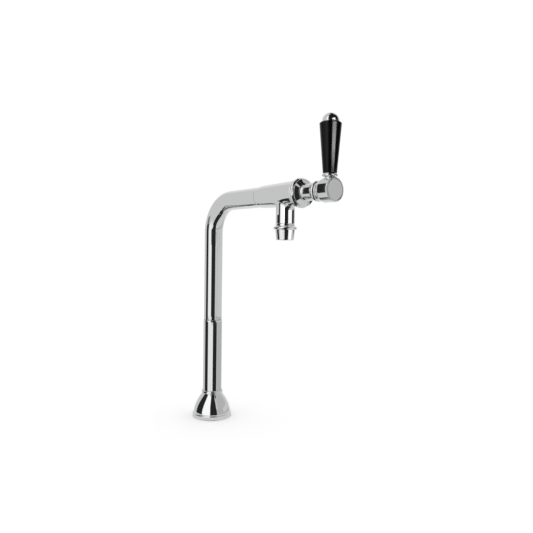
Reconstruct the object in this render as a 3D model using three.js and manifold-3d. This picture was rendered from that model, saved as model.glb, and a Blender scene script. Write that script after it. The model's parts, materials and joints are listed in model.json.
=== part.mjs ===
// Single-tap beer tower: a bell flange and sleeve carry a swivelling swan-neck riser,
// whose horizontal arm ends in a quarter-turn ceramic-disc tap with a lever and a nozzle.
// Millimetres, +Z up. The origin is on the bench, at the foot of the column's axis.
// The arm points along -Y. "Reach" is the distance from the column's axis along the arm.

import * as THREE from 'three';
import { mergeVertices } from 'three/addons/utils/BufferGeometryUtils.js';
import Module from 'manifold-3d';

const wasm = await Module();
wasm.setup();

// ---- Driving dimensions ----------------------------------------------------------

const GAP = 0.3; // between pieces that touch on the real object
const SIDES = 20; // facets round a turned piece
const SMALL_SIDES = 16; // facets round a small or hidden one

const ARM_HEIGHT = 266; // the arm's axis above the bench
const BEND_RADIUS = 38; // centreline radius of the swan neck
const BEND_STEPS = 8;
const TUBE_R = 11.1; // riser tube, 22.2 mm outside
const TUBE_BORE = 9.5;

const SLEEVE_R = 11.6;
const SLEEVE_BORE = 9.3;
const SLEEVE_FOOT = 7.6;
const SLEEVE_TOP = 120.5;

const BASE_R = 24; // bell flange at its rim
const RIM_HEIGHT = 5;
const BELL_TOP_R = 12.6;
const BELL_TOP = 28.2;
const BELL_FOOT_R = 22.6;
const BELL_CURVE = 1.8; // power of the bell's outline
const BELL_WALL = 1.9;
const COLLAR_TOP = 32.8;
const COLLAR_BORE = SLEEVE_R + GAP;

const GASKET_TOP = 1;
const PLATE_R = 20.3;
const PLATE_TOP = 6.3;
const PLATE_HOLE_CIRCLE = 15.6; // radius of the screw holes' circle
const INLET_R = 7.5; // socket for a G3/8 supply fitting
const INLET_DEPTH = 13;
const BOSS_TOP = 24;
const WATERWAY = 5.5;

const SPIGOT_FOOT = 78; // the swivel spigot, inside the sleeve and the riser
const SPIGOT_TOP = 140;
const SPIGOT_R = SLEEVE_BORE - GAP;
const SPIGOT_RING_HEIGHTS = [87.2, 95.2];
const RING_WIDTH = 2;
const GRUB_HEIGHT = 106;
const GRUB_R = 2.4;
const GRUB_TIP_R = 1.8;

const SEAM_REACH = 93; // joint between the arm's tube and the tap body
const OUTLET_REACH = 134;
const BRANCH_R = 10;
const BRANCH_FOOT = 235.5;
const NOZZLE_FOOT = 218.4;
const NOZZLE_BEAD_R = 12.5;
const BODY_FACE = 160.4; // reach of the tap body's front face
const BODY_BEAD_R = 15.3;
const CHAMBER_BACK = 124;
const CHAMBER_R = 10;
const THREAD_R = 10.5;
const THREAD_BACK = 150;

const BONNET_BACK = 161.5;
const BONNET_R = 8.7;
const BONNET_FRONT = 178.6;
const GLAND_FRONT = 186.1;
const GLAND_R = 10.3;
const HUB_BACK = 186.5;
const HUB_FACE = 205;
const HUB_R = 11.8;
const SPINDLE_R = 4.2;
const SPINDLE_FRONT = 194.4;
const LEVER_REACH = 197.5;

const STEM_R = 2.5; // lever stem, a 5 mm rod
const FERRULE_TOP = 281.6;
const HANDLE_FOOT = 281.9;
const HANDLE_FOOT_R = 6.8;
const HANDLE_TOP = 330;
const HANDLE_TOP_R = 10.8;
const FINIAL_TOP = 339.4;
const FINIAL_R = 8.3;

// ---- Finishes ---------------------------------------------------------------------

const chrome = { color: 0xd4d6d8, roughness: 0.08, metalness: 1 };
const brass = { color: 0xb8924a, roughness: 0.35, metalness: 1 };
const steel = { color: 0xa9abad, roughness: 0.3, metalness: 1 };
const blackGloss = { color: 0x0b0b0c, roughness: 0.12, metalness: 0 };
const rubber = { color: 0x17171a, roughness: 0.8, metalness: 0 };
const nylon = { color: 0xe9e6dc, roughness: 0.5, metalness: 0 };
const ceramic = { color: 0xf3efe8, roughness: 0.25, metalness: 0 };

// ---- Shape helpers ----------------------------------------------------------------

// Signed area of a closed outline, positive when it runs anticlockwise.
function outlineArea(points) {
  let area = 0;
  points.forEach(([x, y], i) => {
    const [nextX, nextY] = points[(i + 1) % points.length];
    area += (x * nextY - nextX * y) / 2;
  });
  return area;
}

// Solid of revolution about +Z from an outline of [radius, height] points. The outline closes
// on itself, unless it starts and ends on the axis.
function turned(outline, sides = SIDES) {
  const ordered = outlineArea(outline) > 0 ? outline : [...outline].reverse();
  const points = ordered.map(([radius, height]) => new THREE.Vector2(radius, height));
  if (points[0].x > 0) points.push(points[0].clone());
  return new THREE.LatheGeometry(points, sides).rotateX(Math.PI / 2);
}

// Plain tube or, with no bore, a plain round bar between two heights.
function ring(bore, radius, low, high, sides = SIDES) {
  return turned([[bore, low], [radius, low], [radius, high], [bore, high]], sides);
}

// Points on an arc of an outline, from one angle to another in degrees.
function arc(centreR, centreH, radius, fromDeg, toDeg, steps) {
  return Array.from({ length: steps + 1 }, (_, i) => {
    const angle = THREE.MathUtils.degToRad(fromDeg + ((toDeg - fromDeg) * i) / steps);
    return [centreR + radius * Math.cos(angle), centreH + radius * Math.sin(angle)];
  });
}

// O-ring of a round section about a given height.
function oRing(middleR, height, sectionR, sides = SMALL_SIDES) {
  return turned(arc(middleR, height, sectionR, 0, 300, 5), sides);
}

// Round bar along any axis-aligned direction, used as a drill.
function drill(radius, length, direction, centre, sides = SMALL_SIDES) {
  const bar = new THREE.CylinderGeometry(radius, radius, length, sides);
  const turn = new THREE.Quaternion().setFromUnitVectors(new THREE.Vector3(0, 1, 0), direction);
  return bar.applyQuaternion(turn).translate(...centre);
}

function block(size, centre) {
  return new THREE.BoxGeometry(...size).translate(...centre);
}

function toManifold(geometry) {
  const bare = geometry.clone();
  bare.deleteAttribute('normal');
  bare.deleteAttribute('uv');
  const merged = mergeVertices(bare, 1e-4);
  const index = Array.from(merged.index.array);
  const triangles = [];
  for (let i = 0; i < index.length; i += 3) {
    const [a, b, c] = index.slice(i, i + 3);
    if (a !== b && b !== c && c !== a) triangles.push(a, b, c);
  }
  const mesh = new wasm.Mesh({
    numProp: 3,
    vertProperties: new Float32Array(merged.attributes.position.array),
    triVerts: new Uint32Array(triangles),
  });
  return new wasm.Manifold(mesh);
}

function toGeometry(manifold) {
  const mesh = manifold.getMesh();
  const geometry = new THREE.BufferGeometry();
  geometry.setAttribute('position', new THREE.BufferAttribute(mesh.vertProperties, 3));
  geometry.setIndex(new THREE.BufferAttribute(mesh.triVerts, 1));
  return geometry;
}

// The first list joined together, less everything in the second list.
function carved(joined, removed = []) {
  const whole = joined.map(toManifold).reduce((sum, next) => sum.add(next));
  return toGeometry(removed.map(toManifold).reduce((left, next) => left.subtract(next), whole));
}

const UP = new THREE.Vector3(0, 0, 1);
const SIDEWAYS = new THREE.Vector3(1, 0, 0);
const BACKWARDS = new THREE.Vector3(0, 1, 0);

function circle(radius, sides) {
  return Array.from({ length: sides }, (_, i) => {
    const angle = (2 * Math.PI * i) / sides;
    return new THREE.Vector2(radius * Math.cos(angle), radius * Math.sin(angle));
  });
}

// ---- Assembly groups --------------------------------------------------------------

// Column pieces stand on the bench. Arm pieces are turned about +Z with reach as their height,
// and the arm group lays that axis along -Y, which keeps the arm's upper side at local +Y.
const tower = new THREE.Group();
const column = new THREE.Group();
const arm = new THREE.Group();
arm.position.set(0, 0, ARM_HEIGHT);
arm.rotation.set(Math.PI / 2, 0, 0);
const outlet = new THREE.Group();
outlet.position.set(0, -OUTLET_REACH, 0);
const lever = new THREE.Group();
lever.position.set(0, -LEVER_REACH, 0);
tower.add(column, arm, outlet, lever);

function piece(group, name, geometry, finish) {
  const mesh = new THREE.Mesh(geometry, new THREE.MeshStandardMaterial(finish));
  mesh.name = name;
  group.add(mesh);
}

// ---- Pedestal ---------------------------------------------------------------------

// Radius of the bell's outside at a height between its rim and its neck.
function bellRadius(height) {
  const rise = (height - RIM_HEIGHT) / (BELL_TOP - RIM_HEIGHT);
  return BELL_FOOT_R - (BELL_FOOT_R - BELL_TOP_R) * rise ** BELL_CURVE;
}

function baseFlange() {
  const heights = [8, 13, 18, 23, BELL_TOP];
  const outside = heights.map((height) => [bellRadius(height), height]);
  const bead = arc(11, BELL_TOP + 2.4, 2.2, -58, 62, 3);
  const insideHeights = [19.2, 14, PLATE_TOP + 1.6];
  const inside = insideHeights.map((height) => [bellRadius(height) - BELL_WALL, height]);
  const ringSeat = [
    [COLLAR_BORE, 25.4], [COLLAR_BORE + 1.8, 25.4], [COLLAR_BORE + 1.8, 22.8], [COLLAR_BORE, 22.8],
  ];
  return turned([
    [BASE_R - 0.4, 0], [BASE_R, 0.5], [BASE_R, RIM_HEIGHT - 1], [BASE_R - 0.5, RIM_HEIGHT - 0.2],
    [BELL_FOOT_R, RIM_HEIGHT],
    ...outside,
    ...bead,
    [COLLAR_BORE, COLLAR_TOP],
    ...ringSeat,
    [COLLAR_BORE, 21],
    ...inside,
    [21.6, PLATE_TOP + 0.5], [21.6, 0],
  ]);
}

// Places for the three bench screws, evenly round the mounting plate.
const screwPlaces = [90, 210, 330].map((degrees) => {
  const angle = THREE.MathUtils.degToRad(degrees);
  return [PLATE_HOLE_CIRCLE * Math.cos(angle), PLATE_HOLE_CIRCLE * Math.sin(angle)];
});

function baseGasket() {
  const holes = screwPlaces.map(([x, y]) => drill(2.6, 4, UP, [x, y, GASKET_TOP / 2], 12));
  return carved([ring(INLET_R + 0.5, PLATE_R, 0, GASKET_TOP)], holes);
}

function mountingPlate() {
  const boss = SLEEVE_BORE - GAP;
  const low = GASKET_TOP + GAP;
  const plate = turned([
    [INLET_R, low], [PLATE_R, low], [PLATE_R, PLATE_TOP - 0.6], [PLATE_R - 0.6, PLATE_TOP],
    [boss, PLATE_TOP], [boss, BOSS_TOP - 0.8], [boss - 0.8, BOSS_TOP], [WATERWAY, BOSS_TOP],
    [WATERWAY, INLET_DEPTH], [INLET_R, INLET_DEPTH],
  ]);
  const holes = screwPlaces.flatMap(([x, y]) => {
    const sink = turned([[0, 3.4], [2.3, 3.4], [4.3, 6.5], [0, 6.5]], 12).translate(x, y, 0);
    return [drill(2.3, 9, UP, [x, y, 3], 12), sink];
  });
  return carved([plate], holes);
}

function pedestalSleeve() {
  const tube = turned([
    [SLEEVE_BORE, SLEEVE_FOOT], [SLEEVE_R, SLEEVE_FOOT], [SLEEVE_R, SLEEVE_TOP - 0.5],
    [SLEEVE_R - 0.4, SLEEVE_TOP], [SLEEVE_R - 0.9, SLEEVE_TOP], [SLEEVE_R - 0.9, SLEEVE_TOP - 0.9],
    [SLEEVE_BORE, SLEEVE_TOP - 0.9],
  ]);
  return carved([tube], [drill(GRUB_R + GAP, 8, BACKWARDS, [0, SLEEVE_R, GRUB_HEIGHT], 12)]);
}

// Set screw through the back of the sleeve: its tip runs in the spigot's groove.
function grubScrew() {
  const screw = turned([
    [0, 7.9], [GRUB_TIP_R, 7.9], [GRUB_TIP_R, SLEEVE_BORE], [GRUB_R, SLEEVE_BORE + 0.2],
    [GRUB_R, SLEEVE_R - 0.3], [0, SLEEVE_R - 0.3],
  ], 12).rotateX(-Math.PI / 2);
  const socket = new THREE.CylinderGeometry(1.25, 1.25, 2.6, 6).translate(0, SLEEVE_R - 0.9, 0);
  return carved([screw], [socket]).translate(0, 0, GRUB_HEIGHT);
}

piece(column, 'base_flange', baseFlange(), chrome);
piece(column, 'flange_o_ring', oRing(COLLAR_BORE + 0.75, 24.1, 0.8, SIDES), rubber);
piece(column, 'base_gasket', baseGasket(), rubber);
piece(column, 'mounting_plate', mountingPlate(), brass);
piece(column, 'sleeve_washer', ring(9.6, 11.3, PLATE_TOP + GAP, SLEEVE_FOOT - GAP), rubber);
piece(column, 'pedestal_sleeve', pedestalSleeve(), chrome);
piece(column, 'grub_screw', grubScrew(), steel);

// ---- Swivel -----------------------------------------------------------------------

function ringGroove(height) {
  const half = RING_WIDTH / 2 + GAP;
  return ring(SPIGOT_R - 1.8, SPIGOT_R + 1, height - half, height + half);
}

// The grub screw's groove covers the rear half of the spigot, which limits the swing.
function swingGroove() {
  const half = GRUB_TIP_R + GAP;
  const whole = toManifold(ring(SPIGOT_R - 1.6, SPIGOT_R + 1, GRUB_HEIGHT - half, GRUB_HEIGHT + half));
  return toGeometry(whole.intersect(toManifold(block([40, 20, 20], [0, 10, GRUB_HEIGHT]))));
}

function swivelSpigot() {
  const foot = turned([
    [6.5, SPIGOT_FOOT], [SPIGOT_R - 0.7, SPIGOT_FOOT], [SPIGOT_R, SPIGOT_FOOT + 0.7],
    [SPIGOT_R, SPIGOT_TOP - 1], [SPIGOT_R - 0.6, SPIGOT_TOP], [6.5, SPIGOT_TOP],
  ]);
  return carved([foot], [...SPIGOT_RING_HEIGHTS.map(ringGroove), swingGroove()]);
}

// The bent tube's centreline: straight up, a quarter circle, and straight out along the arm.
class SwanNeck extends THREE.Curve {
  constructor(foot, end) {
    super();
    this.foot = foot;
    this.end = end;
  }

  getPointAt(u) {
    const step = Math.round(u * (BEND_STEPS + 2));
    if (step === 0) return new THREE.Vector3(0, 0, this.foot);
    if (step === BEND_STEPS + 2) return new THREE.Vector3(0, -this.end, ARM_HEIGHT);
    const angle = ((step - 1) / BEND_STEPS) * (Math.PI / 2);
    const y = -BEND_RADIUS * (1 - Math.cos(angle));
    return new THREE.Vector3(0, y, ARM_HEIGHT - BEND_RADIUS + BEND_RADIUS * Math.sin(angle));
  }

  getTangentAt(u) {
    const step = Math.round(u * (BEND_STEPS + 2));
    const along = THREE.MathUtils.clamp((step - 1) / BEND_STEPS, 0, 1) * (Math.PI / 2);
    return new THREE.Vector3(0, -Math.sin(along), Math.cos(along));
  }
}

function riserTube() {
  const wall = new THREE.Shape(circle(TUBE_R, SIDES));
  wall.holes.push(new THREE.Path(circle(TUBE_BORE, SIDES)));
  const path = new SwanNeck(SLEEVE_TOP + GAP, SEAM_REACH - GAP / 2);
  return new THREE.ExtrudeGeometry(wall, {
    steps: BEND_STEPS + 2,
    extrudePath: path,
  });
}

piece(column, 'swivel_washer', ring(9.6, 10.4, SLEEVE_TOP - 0.6, SLEEVE_TOP), nylon);
piece(column, 'swivel_spigot', swivelSpigot(), brass);
SPIGOT_RING_HEIGHTS.forEach((height, i) => {
  piece(column, `spigot_o_ring_${i + 1}`, oRing(8.2, height, 0.85), rubber);
});
piece(column, 'riser_tube', riserTube(), chrome);

// ---- Tap body ---------------------------------------------------------------------

// Barrel and outlet branch cast in one piece, with the valve chamber bored from the front.
function tapBody() {
  const spigot = TUBE_BORE - GAP;
  const seam = SEAM_REACH + GAP / 2;
  const barrel = turned([
    [7, seam - 12], [spigot - 0.5, seam - 12], [spigot, seam - 11.5], [spigot, seam],
    [TUBE_R - 0.3, seam], [TUBE_R + 0.2, seam + 0.4], [11.8, 98], [12.15, 105], [12.6, 122],
    [12.95, 142], [13.2, 153], [13.9, 154.6], [14.8, 155.4],
    ...arc(BODY_BEAD_R - 2.4, 157.8, 2.4, -50, 50, 4),
    [13.8, BODY_FACE],
    [THREAD_R, BODY_FACE], [THREAD_R, THREAD_BACK], [CHAMBER_R, THREAD_BACK],
    [CHAMBER_R, CHAMBER_BACK], [5, CHAMBER_BACK], [5, CHAMBER_BACK - 2], [7, CHAMBER_BACK - 2],
  ]);
  const drop = ARM_HEIGHT - BRANCH_FOOT;
  const branchOutline = [
    [0, 0], [12.4, 0], [12.4, 8], [11.2, 11.2], [10.3, 14], [BRANCH_R, 17],
    [BRANCH_R, drop - 0.3], [BRANCH_R - 0.3, drop], [0, drop],
  ];
  const placeBranch = (geometry) => geometry.rotateX(Math.PI / 2).translate(0, 0, OUTLET_REACH);
  const branch = toManifold(placeBranch(turned(branchOutline)));
  const solidBarrel = toManifold(ring(0, CHAMBER_R + 1, CHAMBER_BACK - 8, BODY_FACE - 2));
  const saddle = toGeometry(branch.subtract(solidBarrel));
  const bore = placeBranch(turned([
    [0, 5], [6.5, 5], [6.5, drop - 11], [8.3, drop - 10.5], [8.3, drop + 1], [0, drop + 1],
  ]));
  return carved([barrel, saddle], [bore]);
}

function outletNozzle() {
  const top = BRANCH_FOOT - GAP;
  const bead = arc(NOZZLE_BEAD_R - 1.5, 230.9, 1.5, -70, 80, 4);
  return turned([
    [6.8, NOZZLE_FOOT], [9.1, NOZZLE_FOOT], [9.4, NOZZLE_FOOT + 0.4], [10.35, 229.2],
    ...bead,
    [10.2, 233.2], [9.9, top], [8, top],
    [8, 239.6], [6.6, 239.6], [6.6, 242.4], [8, 242.4], [8, 244], [5.2, 244],
    [5.2, 228.4], [6.8, 228.4],
  ]);
}

// Short ring with crossed vanes that calms the flow.
function flowStraightener() {
  const foot = NOZZLE_FOOT + 1.2;
  const height = 8;
  const middle = [0, 0, foot + height / 2];
  const vaneLength = 12.2;
  const vane = 0.8;
  return carved([
    ring(5.9, 6.5, foot, foot + height, SMALL_SIDES),
    block([vaneLength, vane, height - 0.4], middle),
    block([vane, vaneLength, height - 0.4], middle),
  ]);
}

piece(arm, 'tap_body', tapBody(), chrome);
piece(outlet, 'outlet_nozzle', outletNozzle(), chrome);
piece(outlet, 'nozzle_o_ring', oRing(7.45, 241, 0.65), rubber);
piece(outlet, 'flow_straightener', flowStraightener(), nylon);

// ---- Valve ------------------------------------------------------------------------

function bonnet() {
  return turned([
    [6.5, 153.3], [THREAD_R - GAP, 153.3], [THREAD_R - GAP, BONNET_BACK], [13.9, BONNET_BACK],
    [14.1, BONNET_BACK + 0.6], [9.4, 164.7], [7.9, 164.9], [7.9, 165.7], [BONNET_R, 165.9],
    [BONNET_R, BONNET_FRONT - 0.4], [BONNET_R - 0.4, BONNET_FRONT], [6.6, BONNET_FRONT],
    [6.6, GLAND_FRONT - 1.8], [4.6, GLAND_FRONT - 1.8], [4.6, 169], [6.5, 169],
  ]);
}

function glandNut() {
  return turned([
    [6.9, BONNET_FRONT + GAP], [GLAND_R - 1, BONNET_FRONT + GAP],
    ...arc(GLAND_R - 2.4, GLAND_FRONT - 4.2, 2.4, -45, 60, 4),
    [GLAND_R - 1.2, GLAND_FRONT - 1.4], [GLAND_R - 0.7, GLAND_FRONT], [7.6, GLAND_FRONT],
    [7.6, GLAND_FRONT - 1.7], [6.9, GLAND_FRONT - 1.7],
  ]);
}

function cartridgeBody() {
  const shell = turned([
    [7.9, 126.7], [8.7, 126.7], [8.7, 150.4], [9.9, 150.4], [9.9, 153], [6.2, 153],
    [6.2, 166.6], [4.6, 166.6], [4.6, 141], [7.9, 141],
  ]);
  const window = block([8, 24, 6.5], [0, 0, 137]);
  return carved([shell], [window]);
}

// Disc with two opposite ports, the mating half of which the moving disc covers or clears.
function disc(radius, back, front, portAxis) {
  const ports = [-1, 1].map((side) => {
    const centre = portAxis.clone().multiplyScalar(side * 4.2);
    return drill(2.4, 8, UP, [centre.x, centre.y, (back + front) / 2], 12);
  });
  return carved([ring(0, radius, back, front)], ports);
}

function movingDisc() {
  const plain = disc(7.4, 130.9, 133.7, SIDEWAYS);
  return carved([plain], [block([3.2, 10, 3], [0, 0, 134.1])]);
}

// Valve stem with a driving bar and tang at the back and the hub screw's thread at the front.
function spindle() {
  const rod = turned([
    [0, 136], [SPINDLE_R, 136], [SPINDLE_R, 157.2], [3, 157.2], [3, 159.4],
    [SPINDLE_R, 159.4], [SPINDLE_R, 161.6], [3, 161.6], [3, 163.8], [SPINDLE_R, 163.8],
    [SPINDLE_R, 166.9], [3.4, 166.9], [3.4, 168.2], [SPINDLE_R, 168.2],
    [SPINDLE_R, SPINDLE_FRONT - 0.4], [SPINDLE_R - 0.4, SPINDLE_FRONT], [2.3, SPINDLE_FRONT],
    [2.3, 185], [0, 185],
  ]);
  const bar = block([4.4, 13.4, 2.6], [0, 0, 135.5]);
  const tang = block([2.6, 9.4, 2], [0, 0, 133.9]);
  return carved([rod, bar, tang]);
}

function spindleCirclip() {
  const clip = ring(3.6, 5.6, 167.15, 167.95, SMALL_SIDES);
  return carved([clip], [block([3, 4, 3], [0, -5, 167.5])]);
}

piece(arm, 'bonnet_gasket', ring(THREAD_R + 0.2, 13.2, BODY_FACE + GAP, BONNET_BACK - GAP), rubber);
piece(arm, 'bonnet', bonnet(), chrome);
piece(arm, 'gland_nut', glandNut(), chrome);
piece(arm, 'glide_ring', ring(4.7, 7.3, GLAND_FRONT - 1.4, GLAND_FRONT, SMALL_SIDES), nylon);
piece(arm, 'cartridge_seal', ring(5.3, 8.4, CHAMBER_BACK + GAP, 126.4), rubber);
piece(arm, 'cartridge_body', cartridgeBody(), brass);
piece(arm, 'fixed_disc', disc(7.6, 127.6, 130.6, BACKWARDS), ceramic);
piece(arm, 'moving_disc', movingDisc(), ceramic);
piece(arm, 'spindle', spindle(), brass);
[158.3, 162.7].forEach((reach, i) => {
  piece(arm, `spindle_o_ring_${i + 1}`, oRing(3.78, reach, 0.62), rubber);
});
piece(arm, 'spindle_circlip', spindleCirclip(), steel);

// ---- Lever ------------------------------------------------------------------------

function leverHub() {
  const hub = turned([
    [SPINDLE_R + GAP, HUB_BACK], [9.4, HUB_BACK], [10.2, HUB_BACK + 0.5],
    [10.3, HUB_BACK + 2.6],
    ...arc(HUB_R - 2.6, HUB_BACK + 5.8, 2.6, -55, 0, 3),
    [HUB_R, HUB_FACE - 1], ...arc(HUB_R - 0.7, HUB_FACE - 0.7, 0.7, 0, 90, 2),
    [10.5, HUB_FACE], [10.5, 203], [4.2, 203], [4.2, 199.4], [2.3, 199.4], [2.3, 194.8],
    [SPINDLE_R + GAP, 194.8],
  ]);
  const stemHole = drill(STEM_R + GAP, 12, BACKWARDS, [0, 11.2, LEVER_REACH], 16);
  const seat = drill(5.3, 8, BACKWARDS, [0, 13.2, LEVER_REACH]);
  return carved([hub], [stemHole, seat]);
}

// Socket screw that pulls the hub onto the spindle.
function hubScrew() {
  const screw = turned([
    [0, 186.5], [2, 186.5], [2, 199.7], [3.6, 199.7], [3.6, 202.6], [0, 202.6],
  ], SMALL_SIDES);
  return carved([screw], [drill(1.5, 4, UP, [0, 0, 203], 6)]);
}

function hubCap() {
  return turned([
    [0, 203.3], [10.2, 203.3], [10.2, HUB_FACE - 0.3], [9.9, HUB_FACE], [0, HUB_FACE],
  ]);
}

function leverFerrule() {
  return turned([
    [STEM_R + GAP, 275.5], [4.6, 275.5], [4.9, 275.8], [4.9, 277.9], [6.3, 278.8],
    ...arc(6.2, 279.9, 1.4, -40, 50, 3),
    [HANDLE_FOOT_R - 0.1, FERRULE_TOP], [STEM_R + GAP, FERRULE_TOP],
  ]);
}

function leverHandle() {
  const shoulder = arc(HANDLE_TOP_R - 1.3, HANDLE_TOP - 1.2, 1.2, 8, 90, 4);
  return turned([
    [STEM_R + GAP, HANDLE_FOOT + 1.2], [5.6, HANDLE_FOOT + 1.2], [5.6, HANDLE_FOOT],
    [HANDLE_FOOT_R, HANDLE_FOOT],
    ...shoulder,
    [5.6, HANDLE_TOP], [5.6, HANDLE_TOP - 1.2], [STEM_R + GAP, HANDLE_TOP - 1.2],
  ]);
}

function finialNut() {
  const foot = HANDLE_TOP + GAP;
  const rise = FINIAL_TOP - foot - 1;
  const dome = [0, 22, 44, 66].map((degrees) => {
    const angle = THREE.MathUtils.degToRad(degrees);
    return [FINIAL_R * Math.cos(angle), foot + 1 + rise * Math.sin(angle)];
  });
  return turned([
    [0, foot + 4], [STEM_R + GAP, foot + 4], [STEM_R + GAP, foot],
    [FINIAL_R + 0.2, foot], [FINIAL_R + 0.5, foot + 0.4], [FINIAL_R + 0.3, foot + 0.8],
    ...dome,
    [0, FINIAL_TOP],
  ]);
}

const leverStem = ring(0, STEM_R, 271.9, HANDLE_TOP + 3.9, SMALL_SIDES);

piece(arm, 'lever_hub', leverHub(), chrome);
piece(arm, 'hub_screw', hubScrew(), steel);
piece(arm, 'hub_cap', hubCap(), chrome);
piece(lever, 'lever_stem', leverStem, steel);
piece(lever, 'lever_ferrule', leverFerrule(), chrome);
[HANDLE_FOOT, HANDLE_TOP - 0.9].forEach((height, i) => {
  const washer = ring(STEM_R + GAP, 5.3, height, height + 0.9, SMALL_SIDES);
  piece(lever, `handle_washer_${i + 1}`, washer, nylon);
});
piece(lever, 'lever_handle', leverHandle(), blackGloss);
piece(lever, 'finial_nut', finialNut(), chrome);

export default tower;
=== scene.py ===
# Looks of the single-tap beer tower: fine turned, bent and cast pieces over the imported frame,
# their metals, plastics and rubbers, and a plain white studio. Outlines are in millimetres, the
# studio is in metres.

import json
import math

import bmesh
import bpy
from mathutils import Matrix, Vector

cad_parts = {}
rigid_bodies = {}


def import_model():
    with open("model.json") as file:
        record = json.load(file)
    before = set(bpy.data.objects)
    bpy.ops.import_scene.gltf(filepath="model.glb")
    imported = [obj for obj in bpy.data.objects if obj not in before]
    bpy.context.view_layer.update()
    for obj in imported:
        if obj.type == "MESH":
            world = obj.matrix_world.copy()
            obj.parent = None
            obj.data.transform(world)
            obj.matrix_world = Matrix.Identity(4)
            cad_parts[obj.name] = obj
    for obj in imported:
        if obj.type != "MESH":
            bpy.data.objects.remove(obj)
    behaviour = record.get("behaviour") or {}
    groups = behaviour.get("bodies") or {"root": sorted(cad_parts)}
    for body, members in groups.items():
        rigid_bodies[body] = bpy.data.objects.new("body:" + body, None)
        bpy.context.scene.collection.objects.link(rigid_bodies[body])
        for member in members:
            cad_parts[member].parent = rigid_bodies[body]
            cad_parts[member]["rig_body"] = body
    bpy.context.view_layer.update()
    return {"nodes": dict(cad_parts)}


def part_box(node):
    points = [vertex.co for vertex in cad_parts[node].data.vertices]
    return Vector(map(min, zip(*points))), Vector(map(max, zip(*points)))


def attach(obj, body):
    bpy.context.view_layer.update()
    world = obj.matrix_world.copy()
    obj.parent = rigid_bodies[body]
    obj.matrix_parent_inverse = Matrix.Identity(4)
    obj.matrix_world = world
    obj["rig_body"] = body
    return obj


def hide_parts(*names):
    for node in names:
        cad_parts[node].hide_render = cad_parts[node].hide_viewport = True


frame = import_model()

MM = 0.001
SIDES = 160  # facets round a turned piece
SMALL_SIDES = 72  # facets round a small one
CUTTER_SIDES = 64
HEXAGON = 6
CORNER_STEPS = 5  # facets round a softened corner
ON_AXIS = 1e-6  # a smaller radius is a point on the axis
MERGE_MM = 1e-3  # points nearer than this are one point
CUT_MERGE_MM = 0.002  # the same where a cut has left slivers
SHARP_ANGLE = math.radians(38)  # a turn of the surface above this is a crease
CUT_SHARP_ANGLE = math.radians(30)

UP = (0, 0, 1)
BACK = (0, 1, 0)


# ---- Places from the frame -------------------------------------------------------


def box_mm(node):
    """Lowest and highest corner of a node's box."""
    low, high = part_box(node)
    return low / MM, high / MM


def upright(node):
    """Lowest height, highest height and radius of a node about a vertical axis."""
    low, high = box_mm(node)
    return low.z, high.z, (high.x - low.x) / 2


def along_arm(node):
    """Least reach, greatest reach and radius of a node about the arm's axis."""
    low, high = box_mm(node)
    return -high.y, -low.y, (high.x - low.x) / 2


def middle(node):
    """Centre of a node's box."""
    low, high = box_mm(node)
    return (low + high) / 2


ARM_HEIGHT = middle("hub_cap").z
OUTLET_REACH = -middle("outlet_nozzle").y
LEVER_REACH = -middle("lever_handle").y

COLUMN = Matrix.Identity(4)
ARM = Matrix.Translation((0, 0, ARM_HEIGHT)) @ Matrix.Rotation(math.pi / 2, 4, "X")
OUTLET = Matrix.Translation((0, -OUTLET_REACH, 0))
LEVER = Matrix.Translation((0, -LEVER_REACH, 0))


# ---- Mesh helpers ----------------------------------------------------------------


def arc(centre_r, centre_h, radius, from_deg, to_deg, steps=14):
    """Points of a round stretch of an outline."""
    points = []
    for i in range(steps + 1):
        angle = math.radians(from_deg + (to_deg - from_deg) * i / steps)
        points.append((centre_r + radius * math.cos(angle), centre_h + radius * math.sin(angle)))
    return points


def softened(outline):
    """The closed outline with its corner rounded wherever a point's third number gives a length."""
    made = []
    for i, point in enumerate(outline):
        here = Vector(point[:2])
        if len(point) == 2:
            made.append(tuple(here))
            continue
        before = Vector(outline[i - 1][:2])
        after = Vector(outline[(i + 1) % len(outline)][:2])
        start = here + (before - here).normalized() * point[2]
        end = here + (after - here).normalized() * point[2]
        for step in range(CORNER_STEPS + 1):
            t = step / CORNER_STEPS
            made.append(tuple(start * (1 - t) ** 2 + here * 2 * t * (1 - t) + end * t**2))
    return made


def lines_split(outline, longest):
    """The outline with extra points, so that no stretch is longer than that."""
    made = []
    for i, (radius, height) in enumerate(outline):
        next_radius, next_height = outline[(i + 1) % len(outline)]
        length = math.dist((radius, height), (next_radius, next_height))
        pieces = max(1, math.ceil(length / longest))
        for step in range(pieces):
            t = step / pieces
            made.append((radius + (next_radius - radius) * t, height + (next_height - height) * t))
    return made


def object_from(mesh_name, bm, place=COLUMN):
    """A smooth-shaded object from a bmesh in millimetres, laid where it belongs in the frame."""
    bmesh.ops.remove_doubles(bm, verts=bm.verts, dist=MERGE_MM)
    bmesh.ops.transform(bm, matrix=Matrix.Scale(MM, 4) @ place, verts=bm.verts)
    bmesh.ops.recalc_face_normals(bm, faces=bm.faces)
    mesh = bpy.data.meshes.new(mesh_name)
    bm.to_mesh(mesh)
    bm.free()
    mesh.shade_smooth()
    mesh.set_sharp_from_angle(angle=SHARP_ANGLE)
    obj = bpy.data.objects.new(mesh_name, mesh)
    bpy.context.scene.collection.objects.link(obj)
    return obj


def weigh_normals(obj):
    """Flat stretches keep flat normals, and only the rounded corners turn them."""
    weighted = obj.modifiers.new("normals", "WEIGHTED_NORMAL")
    weighted.mode = "FACE_AREA"
    weighted.weight = 100
    weighted.keep_sharp = True
    return obj


def join_rings(bm, rings):
    """Faces between each closed ring of points and the next."""
    for one, two in zip(rings, rings[1:]):
        for k in range(len(one)):
            following = (k + 1) % len(one)
            bm.faces.new((one[k], one[following], two[following], two[k]))


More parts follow.
